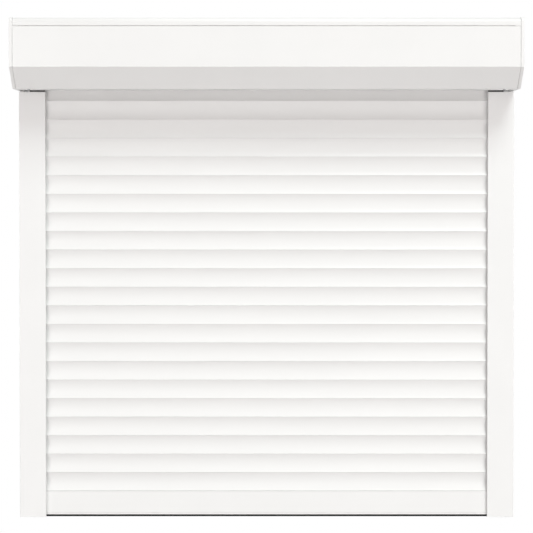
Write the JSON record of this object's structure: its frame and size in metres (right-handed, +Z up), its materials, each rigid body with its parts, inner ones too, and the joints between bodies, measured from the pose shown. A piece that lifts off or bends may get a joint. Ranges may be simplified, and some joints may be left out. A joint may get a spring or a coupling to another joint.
{
  "type": "exterior roller shutter",
  "caption": "White exterior roller shutter: square box with a 45 degree bevel, two guide rails and a curtain of interlocking slats that a tubular motor winds up.",
  "frame": {"origin": "on the box's back face, at the middle of its width, level with the box's underside where the guide rails begin", "axes": "+X across the window to the right as seen from outside, +Y into the wall, +Z up"},
  "size_m": [1, 0.137, 1],
  "materials": {
    "shell": "white powder coat on roll-formed aluminium",
    "end_plate": "white powder coat on cast aluminium",
    "rail": "white powder coat on extruded aluminium",
    "rail_foot": "moulded white plastic",
    "rail_seal": "soft grey sealing strip",
    "funnel": "moulded black plastic",
    "screw": "zinc-plated steel",
    "zinc_steel": "galvanised steel",
    "bearing_steel": "ground bearing steel",
    "spring_steel": "blued spring steel",
    "motor_tube": "pale grey paint on steel tube",
    "black_plastic": "moulded black plastic",
    "black_rubber": "black rubber",
    "slat": "white stove enamel on roll-formed aluminium",
    "foam": "rigid insulating foam",
    "bottom_bar": "white powder coat on extruded aluminium"
  },
  "bodies": {
    "frame": {"box_top_shell": "shell", "inspection_panel": "shell", "end_plate_left": "end_plate", "end_plate_right": "end_plate", "guide_rail_left": "rail", "guide_rail_right": "rail", "rail_foot_left": "rail_foot", "rail_foot_right": "rail_foot", "rail_seals_left": "rail_seal", "rail_seals_right": "rail_seal", "inlet_funnel_left": "funnel", "inlet_funnel_right": "funnel", "panel_screws": "screw", "bracket_screws": "screw", "holder_screws": "screw", "motor_bracket": "zinc_steel", "bearing_holder": "zinc_steel", "bearing_outer_ring": "bearing_steel", "tubular_motor": "motor_tube", "motor_head": "black_plastic", "cable_grommet": "black_rubber"},
    "shaft": {"winding_shaft": "zinc_steel", "shaft_end_cap": "black_plastic", "bearing_inner_ring": "bearing_steel", "bearing_balls": "bearing_steel", "motor_crown": "black_plastic", "drive_wheel": "black_plastic"},
    "curtain": {"slat_01": "slat", "slat_02": "slat", "slat_03": "slat", "slat_04": "slat", "slat_05": "slat", "slat_06": "slat", "slat_07": "slat", "slat_08": "slat", "slat_09": "slat", "slat_10": "slat", "slat_11": "slat", "slat_12": "slat", "slat_13": "slat", "slat_14": "slat", "slat_15": "slat", "slat_16": "slat", "slat_17": "slat", "slat_18": "slat", "slat_19": "slat", "slat_20": "slat", "slat_21": "slat", "slat_22": "slat", "slat_23": "slat", "slat_cores": "foam", "slat_end_clips": "black_plastic", "suspension_springs": "spring_steel", "bottom_bar": "bottom_bar", "bottom_seal": "black_rubber", "bar_end_plugs": "black_plastic"}
  },
  "joints": [
    {"name": "curtain_lift", "type": "slide", "parent": "frame", "child": "curtain", "axis": [0, 0, 1], "range_m": [0, 0.8], "deforming": ["slat_01", "slat_02", "slat_03", "slat_04", "slat_05", "slat_06", "slat_07", "slat_08", "slat_09", "slat_10", "slat_11", "slat_12", "slat_13", "slat_14", "slat_15", "slat_16", "slat_17", "slat_18", "slat_19", "slat_20", "slat_21", "slat_22", "slat_23", "slat_cores", "slat_end_clips", "suspension_springs"]},
    {"name": "shaft_turn", "type": "hinge", "parent": "frame", "child": "shaft", "pos_m": [0, -0.0685, 0.07], "axis": [1, 0, 0], "range_deg": [0, 1260]}
  ],
  "couplings": [
    {"joint": "shaft_turn", "follows": "curtain_lift", "rad_per_m": 27.489}
  ]
}
